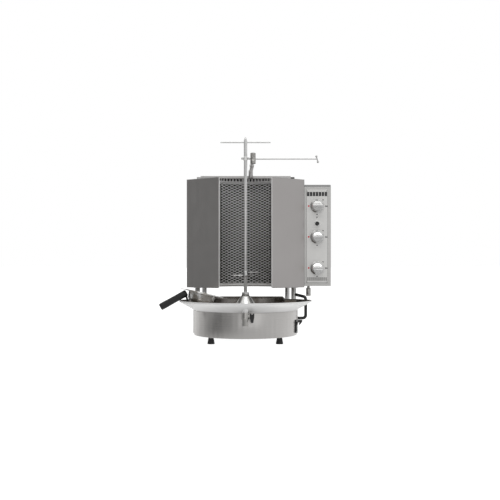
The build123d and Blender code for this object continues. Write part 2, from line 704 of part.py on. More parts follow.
def control_box():
    low_x = WING_TIP[0]
    outside = block((low_x, BOX_RIGHT), (WING_TIP[1], BOX_BACK_Y), (BOX_LOW, BOX_TOP))
    top_front = outside.edges().filter_by(Axis.X).group_by(Axis.Y)[0].sort_by(Axis.Z)[-1]
    outside = chamfer(top_front, 11)
    inner_x = (low_x + SHEET, BOX_RIGHT - SHEET)
    inside = block(inner_x, (WING_TIP[1] + SHEET, BOX_BACK_Y - SHEET), (BOX_LOW + SHEET, BOX_TOP - SHEET))
    inner_edge = inside.edges().filter_by(Axis.X).group_by(Axis.Y)[0].sort_by(Axis.Z)[-1]
    box = outside - chamfer(inner_edge, 11)
    box -= block((FACE_X[0] + 8, FACE_X[1] - 8), (40, 60), (FACE_Z[0] + 12, FACE_Z[1] - 12))
    box -= Pos(*GAS_INLET, BOX_LOW) * Cylinder(6.3, 20)
    for z in KNOB_Z:
        box -= rod((low_x - 5, 90, z), (low_x + 5, 90, z), 6)
    for k in range(8):
        y = 80 + 13 * k
        box -= block((BOX_RIGHT - 6, BOX_RIGHT + 6), (y, y + 5), (300, 380))
    return box


def face_plate():
    plate = block(FACE_X, (PLATE_FRONT_Y, PLATE_FRONT_Y + SHEET), FACE_Z)
    for z in KNOB_Z:
        plate -= rod((KNOB_X, 40, z), (KNOB_X, 60, z), 5.2)
    plate -= rod((IGNITER[0], 40, IGNITER[1]), (IGNITER[0], 60, IGNITER[1]), 11)
    back = PLATE_FRONT_Y + SHEET
    sink = [(0, 48), (2.6, 48), (2.6, PLATE_FRONT_Y + 0.6), (1.6, back), (0, back)]
    for x in (FACE_X[0] + 6, FACE_X[1] - 6):
        for z in (FACE_Z[0] + 6, FACE_Z[1] - 6):
            plate -= turned_forward(sink, x, z)
    return plate


def igniter_housing():
    """The push button's bezel and barrel, with the spark generator behind it."""
    x, z = IGNITER
    bezel = [(13.2, PLATE_FRONT_Y), (13.2, 48.5), (12, 46.5), (0, 46.5)]
    profile = [(0, 94), (8, 94), (11, 91), (11, PLATE_FRONT_Y)] + bezel
    body = turned_forward(profile, x, z)
    return body - rod((x, 40, z), (x, 72, z), IGNITER_R + RUNNING_GAP)


def igniter_button():
    x, z = IGNITER
    r = IGNITER_R
    return turned_forward([(0, 39), (r - 2.5, 39), (r - 0.6, 40), (r, 41.5), (r, 62), (0, 62)], x, z)


def valve_stem(z):
    stem = rod((KNOB_X, STEM_TIP_Y, z), (KNOB_X, 74, z), STEM_R)
    return stem - block((KNOB_X - 5, KNOB_X + 5), (STEM_TIP_Y - 4, STEM_FLAT_Y), (z + 2.6, z + 6))


def knob(z):
    """A skirted knob with a bar grip, pointing left at rest."""
    back = KNOB_BACK_Y
    skirt = [(23.4, 38), (27, 41), (KNOB_R, 43), (KNOB_R, back), (0, back)]
    profile = [(0, 25), (21.4, 25), (22.4, 26)] + skirt
    body = turned_forward(profile, KNOB_X, z)
    grip = block((KNOB_X - 22, KNOB_X + 20), (13, 27), (z - 6.5, z + 6.5))
    grip = fillet(grip.edges().filter_by(Axis.Y), 5)
    grip = chamfer(grip.faces().sort_by(Axis.Y)[0].edges(), 2)
    body += grip
    hole = rod((KNOB_X, STEM_TIP_Y - KNOB_PUSH - 0.5, z), (KNOB_X, 60, z), STEM_R + RUNNING_GAP)
    flat = block((KNOB_X - 6, KNOB_X + 6), (15, STEM_FLAT_Y - KNOB_PUSH - 0.5), (z + 2.7, z + 8))
    return body - (hole - flat)


# ---------------------------------------------------------------- top arm


def arm_post():
    """A post bracketed to the front of the roof, with a neck and a cross sleeve that guides the arm."""
    x, y = ARM_POST
    post = rod((x, y, 696), (x, y, 729), 9.8)
    post += rod((x, y, 722), (ARM_X, y, ARM_Z - 6), 8)
    post += rod((ARM_X, y - 13, ARM_Z), (ARM_X, y + 17, ARM_Z), ARM_R + 3.3)
    post += block((x - 9, x + 9), (y, LID_FRONT_Y - SHEET), (697, 706))
    return post - rod((ARM_X, 60, ARM_Z), (ARM_X, 260, ARM_Z), ARM_R + RUNNING_GAP)


def arm_tube():
    return rod((ARM_X, 9, ARM_Z), (ARM_X, 232, ARM_Z), ARM_R)


def clamp_head():
    x, y = CLAMP
    waist = [(11.8, 755.5), (10.8, 757), (10.8, 758.5), (11.8, 760)]
    head = turned([(0, 741), (10, 741), (11.8, 743)] + waist + [(11.8, 770), (0, 770)], (x, y, 0))
    head -= rod((ARM_X, 9, ARM_Z), (ARM_X, 60, ARM_Z), ARM_R)
    head -= rod((x - 30, ROD_Y, FORK_Z), (x + 30, ROD_Y, FORK_Z), ROD_R + RUNNING_GAP)
    return head - rod((x, y, 764.6), (x, y, 780), 3 + RUNNING_GAP)


def clamp_knob():
    x, y = CLAMP
    groove = [(11.6, 777), (10.4, 778.5), (11.6, 780)]
    profile = [(0, 771), (10.6, 771), (11.6, 772)] + groove + [(11.6, 785), (10, 786.5), (0, 786.5)]
    grip = turned(profile, (x, y, 0))
    for k in range(18):
        turn = radians(20 * k)
        notch = (x + 12.0 * cos(turn), y + 12.0 * sin(turn))
        grip -= Pos(*notch, 778) * Cylinder(1.0, 30)
    return grip + rod((x, y, 766), (x, y, 772), 3)


def release_rod():
    """The fork round the spit's collar, on a long rod that ends in a slanting T-handle with ball ends."""
    low = FORK_Z - 2.5
    high = FORK_Z + 2.5
    fork = block((-17.5, 17.5), (-14, ROD_Y + 3), (low, high))
    fork -= block((-COLLAR_R - 0.3, COLLAR_R + 0.3), (-20, 9.5), (low - 5, high + 5))
    fork = fillet(fork.edges().filter_by(Axis.Z).group_by(Axis.Y)[0], 3)
    fork += rod((15, ROD_Y, FORK_Z), (ROD_END_X, ROD_Y, FORK_Z), ROD_R)
    top = (ROD_END_X - 1.5, ROD_Y, FORK_Z + 11)
    foot = (ROD_END_X + 5, ROD_Y, FORK_Z - 12)
    fork += rod(foot, top, 2.4)
    return fork + Pos(*top) * Sphere(4.8) + Pos(*foot) * Sphere(4.8)


# ---------------------------------------------------------------- scoop


def scoop_place():
    x, z = SCOOP_RIM_CENTRE
    return Pos(x, SCOOP_Y, z) * Rot(0, SCOOP_TILT, 0)


def scoop_form(inset):
    """The bowl's outer form, or its hollow, about its own axis with the rim at Z = 0."""
    r = SCOOP_R - inset
    d = inset - SCOOP_DEPTH
    return turned([(0, d), (28 - inset / 2, d), (44 - inset, d + 14), (r - 3, d + 32), (r, 0), (0, 0)])


def scoop_bowl():
    """A deep round bowl with a rim that runs out to a lip in front and behind."""
    rim = Circle(SCOOP_R + 3)
    for side in (-1, 1):
        ear = Polyline((20 * side, 56), (88 * side, 19), (88 * side, -19), (20 * side, -56), close=True)
        rim += make_face(ear)
    rim_plate = extrude(rim, amount=1.2, dir=(0, 0, -1))
    return scoop_place() * (scoop_form(0) + rim_plate - scoop_form(1.2))


def scoop_handle():
    """A grooved grip that slopes down over the pan's rim, and its stem under the bowl."""
    low = Vector(GRIP_LOW[0], SCOOP_Y, GRIP_LOW[1])
    run = Vector(GRIP_HIGH[0], SCOOP_Y, GRIP_HIGH[1]) - low
    plane = Plane(origin=low, x_dir=(0, 1, 0), z_dir=run)
    grip = extrude(plane * RectangleRounded(GRIP_WIDE, GRIP_THICK, 9), amount=run.length)
    grip = fillet(grip.faces().sort_by(Axis.X)[0].edges(), 3)
    stem = Pos(-234, SCOOP_Y, 184) * Rot(0, 30, 0) * Box(12, 18, 46)
    return grip + stem - scoop_place() * (scoop_form(0) + Pos(0, 0, -0.6) * Cylinder(SCOOP_R + 3, 1.2))


# ---------------------------------------------------------------- assembly

keep("base_shell", base_shell())
keep("base_bottom_plate", base_bottom_plate())
keep("base_deck", base_deck())
keep("rubber_feet", *[rubber_foot(x, y) for x, y in FOOT_PLACES])
keep("base_screws", *[foot_screw(x, y) for x, y in FOOT_PLACES], *[deck_screw(x, y) for x, y in DECK_SCREWS])
keep("carriage_rails", *both_sides(carriage_rail()))
keep("gearbox", gearbox())
keep("motor_can", motor_can())
keep("shaft_bearing", shaft_bearing())
keep("switch_plate", switch_plate())
keep("switch_rocker", switch_rocker())
keep("cable_gland", cable_gland())
keep("lock_lever", lock_lever())

keep("drip_pan", drip_pan())
keep("pan_cone", pan_cone())
keep("drain_valve", drain_valve())
keep("drain_lever", drain_lever())
keep("scoop_bowl", scoop_bowl())
keep("scoop_handle", scoop_handle())

keep("drive_shaft", drive_shaft())
keep("drive_cup", drive_cup())
keep("spit_rod", spit_rod())
keep("spit_collar", spit_collar())
keep("spit_t_bar", spit_t_bar())
keep("spit_spider", spit_spider())

keep("carriage_frame", carriage_frame())
posts = [both_sides(support_post(*place)) for place in (FRONT_POST, REAR_POST)]
keep("support_posts", *posts[0], *posts[1])
keep("handle_bar", handle_bar())
keep("housing_floor", housing_floor())
keep("outer_casing", outer_casing())
keep("shield_right", side_shield())
keep("shield_left", mirror(side_shield(), about=Plane.YZ))
keep("roof_lid", roof_lid())
keep("roof_cap", roof_cap())
keep("slotted_band", slotted_band())
keep("mesh_guard", *mesh_guard())
keep("panel_screws", *panel_screws())

for name, knob_z, burner_z in zip(("lower", "middle", "upper"), KNOB_Z, BURNER_Z):
    keep("burner_" + name, burner(knob_z, burner_z))
    keep("valve_stem_" + name, valve_stem(knob_z))
    keep("knob_" + name, knob(knob_z))
keep("ceramic_plaques", *ceramic_plaques())
keep("gas_valves", *[gas_valve(z) for z in KNOB_Z])
keep("injector_pipes", *[injector_pipe(z) for z in KNOB_Z])
keep("gas_manifold", gas_manifold())
keep("gas_inlet", gas_inlet())
keep("control_box", control_box())
keep("face_plate", face_plate())
keep("igniter_housing", igniter_housing())
keep("igniter_button", igniter_button())

keep("arm_post", arm_post())
keep("arm_tube", arm_tube())
keep("clamp_head", clamp_head())
keep("clamp_knob", clamp_knob())
keep("release_rod", release_rod())

boxes = [solid.bounding_box() for solids in nodes.values() for solid in solids]
MIDDLE_X = (min(box.min.X for box in boxes) + max(box.max.X for box in boxes)) / 2
MIDDLE_Y = (min(box.min.Y for box in boxes) + max(box.max.Y for box in boxes)) / 2

os.makedirs("parts", exist_ok=True)
for name, solids in nodes.items():
    moved = [Pos(-MIDDLE_X, -MIDDLE_Y, 0) * solid for solid in solids]
    export_step(Compound(children=moved), f"parts/{name}.step")
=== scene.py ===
import json
import math
import bmesh
import bpy
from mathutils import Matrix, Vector


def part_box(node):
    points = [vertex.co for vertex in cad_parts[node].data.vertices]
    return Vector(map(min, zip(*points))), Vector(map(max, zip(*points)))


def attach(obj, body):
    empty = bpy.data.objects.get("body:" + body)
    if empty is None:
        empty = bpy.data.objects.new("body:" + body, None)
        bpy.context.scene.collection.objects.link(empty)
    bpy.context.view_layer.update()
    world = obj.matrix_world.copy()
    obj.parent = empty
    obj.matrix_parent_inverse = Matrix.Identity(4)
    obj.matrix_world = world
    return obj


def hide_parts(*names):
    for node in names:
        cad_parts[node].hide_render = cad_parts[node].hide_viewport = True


# Looks of the vertical rotisserie broiler. Metres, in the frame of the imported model. Sizes written in
# millimetres are taken from the spit's axis (X = 0, Y = 0) and the counter (Z = 0) and pass through at().

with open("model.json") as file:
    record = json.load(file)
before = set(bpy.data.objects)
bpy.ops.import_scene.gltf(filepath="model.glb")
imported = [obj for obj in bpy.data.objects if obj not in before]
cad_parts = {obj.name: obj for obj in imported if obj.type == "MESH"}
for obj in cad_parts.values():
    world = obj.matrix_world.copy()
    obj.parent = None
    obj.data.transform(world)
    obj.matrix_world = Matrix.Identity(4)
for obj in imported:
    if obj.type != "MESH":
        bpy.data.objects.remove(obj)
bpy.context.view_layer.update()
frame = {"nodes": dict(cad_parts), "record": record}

MM = 0.001
spit_low, spit_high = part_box("spit_rod")
AXIS = Vector(((spit_low.x + spit_high.x) / 2, (spit_low.y + spit_high.y) / 2, 0))


def at(x, y, z):
    """A point given in millimetres from the spit's axis and the counter."""
    return AXIS + Vector((x, y, z)) * MM


# ---------------------------------------------------------------- shader helpers


def add_node(tree, kind, values=None, **settings):
    made = tree.nodes.new(kind)
    for key, value in settings.items():
        setattr(made, key, value)
    for key, value in (values or {}).items():
        made.inputs[key].default_value = value
    return made


def new_material(name, colour, metallic, rough):
    material = bpy.data.materials.new(name)
    material.use_nodes = True
    tree = material.node_tree
    shader = tree.nodes["Principled BSDF"]
    shader.inputs["Base Color"].default_value = (*colour, 1)
    shader.inputs["Metallic"].default_value = metallic
    shader.inputs["Roughness"].default_value = rough
    return material, tree, shader


def place_vector(tree, scale):
    """Object coordinates stretched by scale, so that a pattern runs along the axis with the small number."""
    where = add_node(tree, "ShaderNodeTexCoord")
    stretch = add_node(tree, "ShaderNodeMapping", {"Scale": scale})
    tree.links.new(where.outputs["Object"], stretch.inputs["Vector"])
    return stretch.outputs["Vector"]


def noise(tree, scale, detail=3.0, rough=0.55):
    made = add_node(tree, "ShaderNodeTexNoise", {"Scale": 1.0, "Detail": detail, "Roughness": rough})
    tree.links.new(place_vector(tree, scale), made.inputs["Vector"])
    return made.outputs["Fac"]


def remap(tree, value, low, high, from_low=0.3, from_high=0.7):
    made = add_node(tree, "ShaderNodeMapRange", {"From Min": from_low, "From Max": from_high,
                                                 "To Min": low, "To Max": high})
    tree.links.new(value, made.inputs["Value"])
    return made.outputs["Result"]


def math_node(tree, operation, a, b):
    made = add_node(tree, "ShaderNodeMath", operation=operation)
    for socket, value in zip(made.inputs, (a, b)):
        if isinstance(value, (int, float)):
            socket.default_value = value
        else:
            tree.links.new(value, socket)
    return made.outputs["Value"]


def mix_colour(tree, share, first, second):
    made = add_node(tree, "ShaderNodeMix", data_type="RGBA", blend_type="MIX")
    tree.links.new(share, made.inputs[0])
    for index, value in ((6, first), (7, second)):
        if isinstance(value, tuple):
            made.inputs[index].default_value = (*value, 1)
        else:
            tree.links.new(value, made.inputs[index])
    return made.outputs[2]


def bump(tree, shader, height, strength, distance):
    made = add_node(tree, "ShaderNodeBump", {"Strength": strength, "Distance": distance})
    tree.links.new(height, made.inputs["Height"])
    tree.links.new(made.outputs["Normal"], shader.inputs["Normal"])


def shade(colour, factor):
    return tuple(min(1.0, c * factor) for c in colour)


def facing_in(tree, centre):
    """1 on faces that look towards the centre, a point in millimetres from the spit's axis."""
    where = add_node(tree, "ShaderNodeTexCoord")
    offset = add_node(tree, "ShaderNodeVectorMath", operation="SUBTRACT")
    tree.links.new(where.outputs["Object"], offset.inputs[0])
    offset.inputs[1].default_value = at(*centre)
    along = add_node(tree, "ShaderNodeVectorMath", operation="DOT_PRODUCT")
    tree.links.new(where.outputs["Normal"], along.inputs[0])
    tree.links.new(offset.outputs["Vector"], along.inputs[1])
    return math_node(tree, "LESS_THAN", along.outputs["Value"], 0.0)


# painted shade for faces inside hollows: near-black, mottled like soot
SOOT_SHADE_DARK = (0.022, 0.020, 0.018)
SOOT_SHADE_PALE = (0.05, 0.045, 0.04)
SOOT_ROUGH = 0.45
BUMP_M = 0.0002


def brushed(name, colour, rough, grain, scratch=0.10, patch=0.06, smudge=0.05, depth=0.12, metal=1.0,
            soot=None):
    """Sheet metal with fine brushing along one axis, soft wear patches and handling marks.

    soot is the middle of a hollow: faces that look towards it get a near-black mottled colour, which is
    painted shade of the hollow with soot-like mottling.
    """
    material, tree, shader = new_material(name, colour, metal, rough)
    lines = noise(tree, grain, 4.0, 0.65)
    patches = noise(tree, (7, 7, 7), 3.0, 0.5)
    marks = noise(tree, (38, 38, 26), 5.0, 0.6)
    tone = remap(tree, lines, 0.0, 1.0)
    base = mix_colour(tree, tone, shade(colour, 1 - scratch), shade(colour, 1 + scratch))
    wear = remap(tree, patches, 0.0, 1.0, 0.35, 0.65)
    base = mix_colour(tree, wear, shade(colour, 1 - patch), base)
    if soot:
        # painted shade: faces that look into the hollow take a dark colour, mottled like soot
        inside = facing_in(tree, soot)
        soot_and_shade = mix_colour(tree, remap(tree, marks, 0.0, 1.0), SOOT_SHADE_DARK, SOOT_SHADE_PALE)
        base = mix_colour(tree, inside, base, soot_and_shade)
        tree.links.new(math_node(tree, "MULTIPLY", math_node(tree, "SUBTRACT", 1.0, inside), metal),
                       shader.inputs["Metallic"])
    tree.links.new(base, shader.inputs["Base Color"])
    fine = remap(tree, lines, -0.05, 0.05)
    broad = remap(tree, marks, -smudge, smudge)
    total = math_node(tree, "ADD", math_node(tree, "ADD", fine, broad), rough)
    if soot:
        total = math_node(tree, "ADD", total, math_node(tree, "MULTIPLY", inside, SOOT_ROUGH))
    tree.links.new(total, shader.inputs["Roughness"])
    bump(tree, shader, lines, depth, BUMP_M)
    return material


def polished(name, colour, rough, wear=0.04, streak=(60, 60, 60), depth=0.05, metal=1.0):
    """Bright polished metal with hairline wear and faint water marks."""
    material, tree, shader = new_material(name, colour, metal, rough)
    hair = noise(tree, streak, 6.0, 0.7)
    water = noise(tree, (24, 24, 24), 2.0, 0.4)
    base = mix_colour(tree, remap(tree, water, 0.0, 1.0), shade(colour, 0.94), shade(colour, 1.04))
    tree.links.new(base, shader.inputs["Base Color"])
    total = math_node(tree, "ADD", remap(tree, hair, 0.0, wear * 2), max(0.02, rough - wear))
    tree.links.new(total, shader.inputs["Roughness"])
    bump(tree, shader, hair, depth, BUMP_M)
    return material


def moulded(name, colour, rough, grain_size=900, depth=0.25):
    """Moulded plastic, rubber or powder coat: fine orange-peel grain and a trace of dust in the colour."""
    material, tree, shader = new_material(name, colour, 0.0, rough)
    skin = noise(tree, (grain_size,) * 3, 2.0, 0.5)
    dusty = noise(tree, (45, 45, 45), 4.0, 0.6)
    lifted = tuple(c + 0.03 for c in colour)
    base = mix_colour(tree, remap(tree, dusty, 0.0, 0.25, 0.4, 0.8), colour, lifted)
    tree.links.new(base, shader.inputs["Base Color"])
    tree.links.new(remap(tree, skin, rough - 0.06, rough + 0.06), shader.inputs["Roughness"])
    bump(tree, shader, skin, depth, BUMP_M)
    return material


def painted_shade_above(material, height, share):
    """Darkens a sheet's colour above a height, in millimetres: painted shade on the bent-back top edge."""
    tree = material.node_tree
    colour = tree.nodes["Principled BSDF"].inputs["Base Color"]
    base = colour.links[0].from_socket
    where = add_node(tree, "ShaderNodeTexCoord")
    split = add_node(tree, "ShaderNodeSeparateXYZ")
    tree.links.new(where.outputs["Object"], split.inputs["Vector"])
    over = remap(tree, split.outputs["Z"], 0.0, 1.0, (height - 0.5) * MM, (height + 0.5) * MM)
    tree.links.new(mix_colour(tree, over, base, shade((1, 1, 1), share)), colour)
    return material


def scoop_steel():
    """Thin bright sheet, browned and dulled where the meat juices dried."""
    material, tree, shader = new_material("scoop_steel", (0.9, 0.9, 0.89), 0.85, 0.22)
    stain = remap(tree, noise(tree, (22, 22, 22), 4.0, 0.62), 0.0, 1.0, 0.46, 0.60)
    hair = noise(tree, (500, 500, 500), 4.0, 0.6)
    base = mix_colour(tree, stain, (0.93, 0.93, 0.92), (0.34, 0.31, 0.27))
    tree.links.new(base, shader.inputs["Base Color"])
    total = math_node(tree, "ADD", remap(tree, stain, 0.16, 0.40, 0.0, 1.0), remap(tree, hair, -0.03, 0.03))
    tree.links.new(total, shader.inputs["Roughness"])
    bump(tree, shader, stain, 0.03, 0.0003)
    return material


def pan_grease_and_painted_shade():
    """Satin steel outside; inside, a dark colour that is painted shade of the pan's hollow, broken into pools
    and runs like cooked-on grease with paler metal between them.
    """
    material, tree, shader = new_material("drip_pan_steel", (0.88, 0.88, 0.87), 0.25, 0.42)
    # painted shade: faces that look into the pan are darkened, in grease-like pools
    inside = facing_in(tree, (0, 60, 700))
    pools = remap(tree, noise(tree, (14, 14, 14), 4.0, 0.6), 0.0, 1.0, 0.42, 0.58)
    water = remap(tree, noise(tree, (30, 30, 30), 3.0, 0.5), 0.0, 1.0)
    grease_and_shade = mix_colour(tree, pools, (0.10, 0.085, 0.07), (0.26, 0.245, 0.23))
    satin = mix_colour(tree, water, (0.93, 0.93, 0.92), (0.96, 0.96, 0.955))
    tree.links.new(mix_colour(tree, inside, satin, grease_and_shade), shader.inputs["Base Color"])
    tree.links.new(remap(tree, inside, 0.10, 0.9, 0.0, 1.0), shader.inputs["Metallic"])
    tree.links.new(remap(tree, inside, 0.42, 0.22, 0.0, 1.0), shader.inputs["Roughness"])
    bump(tree, shader, pools, 0.04, 0.0004)
    return material


def burner_ceramic():
    """Infrared plaque: rows of small round flame ports, a little sooty."""
    material, tree, shader = new_material("burner_ceramic", (0.06, 0.057, 0.053), 0.0, 0.9)
    ports = add_node(tree, "ShaderNodeTexVoronoi", {"Scale": 1.0, "Randomness": 0.0})
    tree.links.new(place_vector(tree, (260, 260, 260)), ports.inputs["Vector"])
    wall = remap(tree, ports.outputs["Distance"], 0.0, 1.0, 0.22, 0.34)
    soot = remap(tree, noise(tree, (30, 30, 30), 4.0, 0.6), 0.0, 0.7, 0.4, 0.75)
    clean = mix_colour(tree, soot, (0.060, 0.057, 0.053), (0.025, 0.024, 0.023))
    base = mix_colour(tree, wall, (0.012, 0.010, 0.009), clean)
    tree.links.new(base, shader.inputs["Base Color"])
    bump(tree, shader, wall, 0.5, 0.001)
    return material


def printed(name, colour):
    """Screen-printed mark on the panel, a little worn."""
    material, tree, shader = new_material(name, colour, 0.0, 0.45)
    worn = noise(tree, (220, 220, 220), 3.0, 0.6)
    base = mix_colour(tree, remap(tree, worn, 0.0, 0.35, 0.5, 0.8), colour, (0.35, 0.34, 0.33))
    tree.links.new(base, shader.inputs["Base Color"])
    tree.links.new(remap(tree, worn, 0.38, 0.55), shader.inputs["Roughness"])
    return material


UPRIGHT = (950, 950, 5)
LEVEL = (5, 5, 950)
ACROSS = (5, 950, 950)
HOUSING_MIDDLE = (0, 150, 450)
STEEL = (0.60, 0.595, 0.585)
WING = (0.545, 0.53, 0.52)
WING_MARKS = {"scratch": 0.03, "patch": 0.03, "smudge": 0.03, "depth": 0.02}
SHEET_MARKS = {"scratch": 0.03, "depth": 0.02}
looks = {
    "brushed_steel_base": brushed("drum_steel", (0.63, 0.615, 0.60), 0.31, LEVEL,
                                  scratch=0.01, patch=0.02, smudge=0.01, depth=0.0),
    "wing_steel": brushed("wing_steel", WING, 0.36, UPRIGHT, **WING_MARKS),
    "panel_steel": brushed("panel_steel", (0.80, 0.79, 0.775), 0.42, UPRIGHT, metal=0.4, **SHEET_MARKS),
    "pan_steel": polished("pan_steel", (0.78, 0.78, 0.77), 0.22, 0.05, (90, 90, 90), metal=0.85),
    "polished_steel": polished("polished_steel", (0.66, 0.66, 0.655), 0.28, 0.05, (700, 700, 30)),
    "galvanised": brushed("galvanised", (0.50, 0.51, 0.52), 0.45, (60, 60, 60), patch=0.12),
    "mesh_steel": brushed("mesh_steel", (0.96, 0.96, 0.955), 0.34, (300, 300, 300), metal=0.35),
    "ceramic": burner_ceramic(),
    "burner_steel": brushed("burner_steel", (0.05, 0.046, 0.043), 0.75, (40, 40, 40), metal=0.3),
    "knob_metal": polished("knob_metal", (0.66, 0.66, 0.655), 0.20, 0.03, (500, 500, 500)),
    "black_plastic": moulded("black_plastic", (0.018, 0.018, 0.019), 0.42),
    "black_coating": moulded("black_coating", (0.015, 0.015, 0.016), 0.30, 1400, 0.35),
    "rubber_black": moulded("rubber_black", (0.014, 0.014, 0.014), 0.62, 600, 0.4),
    "brass_fitting": polished("brass_fitting", (0.62, 0.45, 0.20), 0.28, 0.08, (300, 300, 300)),
    "fitting_steel": polished("fitting_steel", (0.52, 0.51, 0.49), 0.28, 0.08, (400, 400, 60), 0.15),
    "aluminium_cast": brushed("aluminium_cast", (0.55, 0.56, 0.57), 0.5, (180, 180, 180), depth=0.4),
    "bronze": polished("bronze", (0.45, 0.30, 0.13), 0.35, 0.08, (400, 400, 400)),
    "screw_steel": polished("screw_steel", (0.62, 0.62, 0.61), 0.22, 0.05, (500, 500, 500)),
    # painted highlight: the hem steel is paler than the wing steel, to show a bright line along the wings'
    # inner folds
    "hem_steel": polished("hem_steel", (0.85, 0.84, 0.83), 0.30, 0.05, (500, 500, 40), metal=0.6),
}
box_steel = brushed("box_steel", (0.66, 0.655, 0.64), 0.40, UPRIGHT, scratch=0.02, depth=0.02, metal=0.6)
BOX_FOLD_Z = 648.5
# nodes whose look differs from the rest of their slot, by finish and in places by painted light or shade
OWN_LOOK = {
    # painted light: the band's steel is near-white and barely metallic, so that it reads brighter than the
    # steel around it
    "slotted_band": brushed("band_steel", (0.98, 0.97, 0.96), 0.45, LEVEL,
                            scratch=0.01, depth=0.0, metal=0.1),
    # soot= paints the faces that look into the housing and behind the wings near-black: painted shade,
    # mottled like soot
    "shield_left": brushed("shield_left_steel", WING, 0.36, UPRIGHT, soot=(-180, 120, 450), **WING_MARKS),
    # painted shade: the right wing's steel is toned a little darker and warmer than the left wing's
    "shield_right": brushed("shield_right_steel", (0.525, 0.505, 0.497), 0.36, UPRIGHT,
                            soot=(180, 120, 450), **WING_MARKS),
    "outer_casing": brushed("casing_steel", STEEL, 0.30, UPRIGHT, soot=HOUSING_MIDDLE, **SHEET_MARKS),
    "roof_lid": brushed("lid_steel", STEEL, 0.30, ACROSS, soot=HOUSING_MIDDLE, **SHEET_MARKS),
    "housing_floor": brushed("floor_steel", STEEL, 0.36, ACROSS, soot=HOUSING_MIDDLE, **SHEET_MARKS),
    "drip_pan": pan_grease_and_painted_shade(),
    "face_plate": brushed("face_plate_steel", (0.83, 0.825, 0.808), 0.40, UPRIGHT,
                          scratch=0.02, depth=0.02, metal=0.3),
    # painted shade: the control box's colour is darkened above its top fold
    "control_box": painted_shade_above(box_steel, BOX_FOLD_Z, 0.36),
    "roof_cap": brushed("cap_steel", (0.62, 0.61, 0.60), 0.40, ACROSS, **SHEET_MARKS),
    "spit_rod": polished("spit_steel", (0.74, 0.74, 0.735), 0.30, 0.05, (700, 700, 30), metal=0.6),
    "spit_collar": polished("collar_steel", (0.95, 0.95, 0.94), 0.35, 0.05, (700, 700, 30), metal=0.3),
    "igniter_housing": polished("bezel_steel", (0.92, 0.92, 0.91), 0.25, 0.04, (500, 500, 500), metal=0.6),
    "scoop_bowl": scoop_steel(),
}
ink = printed("ink_dark", (0.03, 0.03, 0.032))
# grey ink for the foot row of print, also used for the painted shadow line round the face plate
grey_ink_and_shadow = printed("grey_ink_and_painted_shadow", (0.24, 0.235, 0.23))
ink_red = printed("ink_red", (0.80, 0.02, 0.035))

# ---------------------------------------------------------------- CAD nodes: materials and softened edges

EDGE_MM = {
    "base_shell": 0.8, "base_deck": 0.5, "outer_casing": 0.5, "shield_left": 0.7, "shield_right": 0.7,
    "roof_lid": 0.6, "roof_cap": 0.6, "control_box": 0.9, "drip_pan": 0.5, "pan_cone": 0.6,
    "spit_rod": 0.3, "spit_spider": 0.4, "drive_cup": 0.6, "switch_rocker": 0.7, "switch_plate": 0.5,
    "lock_lever": 0.8, "drain_lever": 0.9, "drain_valve": 0.5, "rubber_feet": 0.6, "arm_post": 0.7,
    "arm_tube": 0.5, "clamp_head": 0.4, "clamp_knob": 0.25, "release_rod": 0.6, "igniter_button": 0.5,
    "igniter_housing": 0.4, "gas_inlet": 0.5, "support_posts": 0.4, "scoop_bowl": 0.4, "cable_gland": 0.5,
    "gearbox": 1.0, "motor_can": 0.6, "carriage_frame": 0.5, "housing_floor": 0.4, "slotted_band": 0.3,
}


def soften(thing, width):
    """Small rounded edges that catch the light, on top of an unchanged mesh."""
    weld = thing.modifiers.new("weld", "WELD")
    weld.merge_threshold = 0.000005
    edge = thing.modifiers.new("edge", "BEVEL")
    edge.width = width * MM
    edge.segments = 2
    edge.limit_method = "ANGLE"
    edge.angle_limit = math.radians(38)
    edge.use_clamp_overlap = True
    edge.harden_normals = True


slot_of = {row["node"]: row["material_slot"] for row in frame["record"]["subparts"]}
for name, thing in frame["nodes"].items():
    thing.data.materials.clear()
    thing.data.materials.append(OWN_LOOK.get(name, looks[slot_of[name]]))
    if name in EDGE_MM:
        soften(thing, EDGE_MM[name])

# ---------------------------------------------------------------- mesh helpers


def finish_piece(name, bm, look, body, replaced=(), angle=35, smooth=True):
    """Turns a bmesh into a piece that rides on a body."""
    bmesh.ops.recalc_face_normals(bm, faces=bm.faces)
    data = bpy.data.meshes.new(name)
    bm.to_mesh(data)
    bm.free()
    if smooth:
        for face in data.polygons:
            face.use_smooth = True
        data.set_sharp_from_angle(angle=math.radians(angle))
    piece = bpy.data.objects.new(name, data)
    bpy.context.scene.collection.objects.link(piece)
    data.materials.append(look)
    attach(piece, body)
    if replaced:
        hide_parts(*replaced)
    return piece


def skin(bm, rings):
    """Quads between closed rings of points, with flat ends."""
    made = [[bm.verts.new(point) for point in ring] for ring in rings]
    for first, second in zip(made, made[1:]):
        count = len(first)
        for i in range(count):
            j = (i + 1) % count
            bm.faces.new((first[i], first[j], second[j], second[i]))
    bm.faces.new(list(reversed(made[0])))
    bm.faces.new(made[-1])


def rounded(profile_mm, radius=1.0, steps=4):
    """Rounds the inner corners of an open profile of (r, z) points in millimetres and gives metres."""
    points = [Vector(p) for p in profile_mm]
    out = [points[0]]
    for before, corner, after in zip(points, points[1:], points[2:]):
        reach = min(radius, (corner - before).length * 0.45, (after - corner).length * 0.45)
        start = corner + (before - corner).normalized() * reach
        end = corner + (after - corner).normalized() * reach
        for k in range(steps + 1):
            t = k / steps
            out.append(start * (1 - t) ** 2 + corner * 2 * t * (1 - t) + end * t ** 2)
    out.append(points[-1])
    return [(p.x * MM, p.y * MM) for p in out]


# ---------------------------------------------------------------- expanded metal guard

GUARD_R = 199.6
GUARD_HALF = math.radians(35.95)
HALF_COLUMNS = 20
GUARD_ROWS = 37
STRAND = 0.23
LEAN_MM = 0.7
STRAND_MM = 1.0
STRIP_MM = 1.3
FOOT_MM = 13
SIDE_STRIP = 0.35
ARC_STEPS = 40


def thicken(sheet, thickness):
    """Gives a sheet its thickness, half to each side."""
    thick = sheet.modifiers.new("thickness", "SOLIDIFY")
    thick.thickness = thickness * MM
    thick.offset = 0


